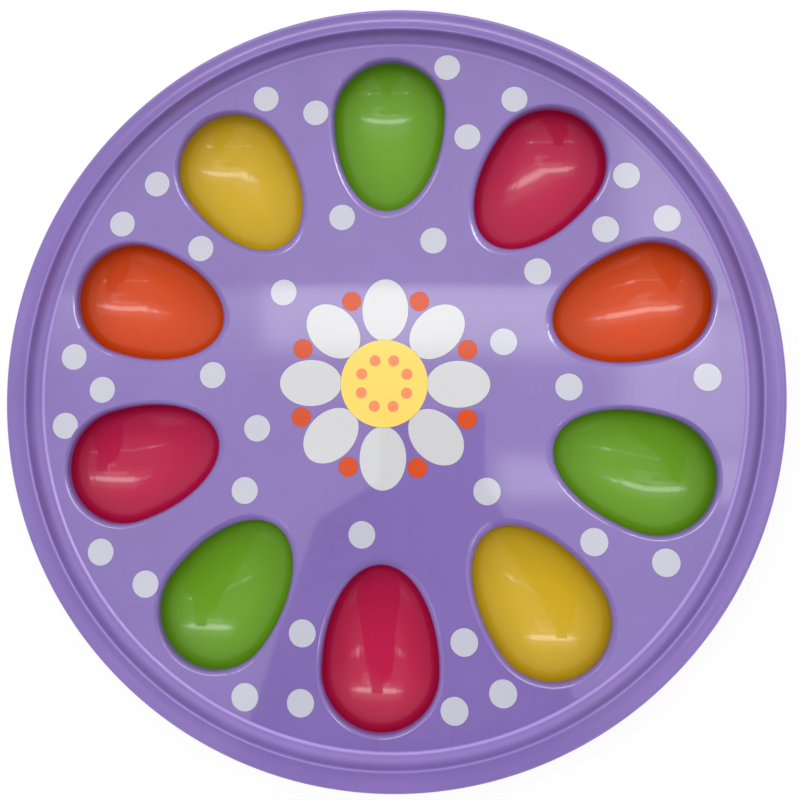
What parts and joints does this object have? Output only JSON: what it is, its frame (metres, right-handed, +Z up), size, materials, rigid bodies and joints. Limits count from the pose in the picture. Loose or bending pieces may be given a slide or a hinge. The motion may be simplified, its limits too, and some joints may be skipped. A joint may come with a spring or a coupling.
{
  "type": "egg tray",
  "caption": "Round moulded egg tray with a ring of egg-shaped wells in bright colours, a raised rim, polka dots and a flower in the middle.",
  "frame": {"origin": "middle of the foot ring's underside, on the table", "axes": "+Z up through the middle of the tray; +Y towards the first well, the green one at the top of the picture; +X to its right"},
  "size_m": [0.28, 0.28, 0.0241],
  "materials": {
    "tray": "glossy moulded melamine",
    "layer_green": "glossy print under clear glaze",
    "layer_magenta": "glossy print under clear glaze",
    "layer_orange": "glossy print under clear glaze",
    "layer_yellow": "glossy print under clear glaze",
    "layer_white": "glossy print under clear glaze",
    "layer_pale_yellow": "glossy print under clear glaze",
    "layer_coral": "glossy print under clear glaze"
  },
  "bodies": {
    "root": {"tray_body": "tray", "lining_1_green": "layer_green", "lining_2_magenta": "layer_magenta", "lining_3_orange": "layer_orange", "lining_4_green": "layer_green", "lining_5_yellow": "layer_yellow", "lining_6_magenta": "layer_magenta", "lining_7_green": "layer_green", "lining_8_magenta": "layer_magenta", "lining_9_orange": "layer_orange", "lining_10_yellow": "layer_yellow", "polka_dots": "layer_white", "flower_petals": "layer_white", "flower_middle": "layer_pale_yellow", "flower_spots": "layer_coral", "flower_leaves": "layer_orange"}
  },
  "joints": []
}
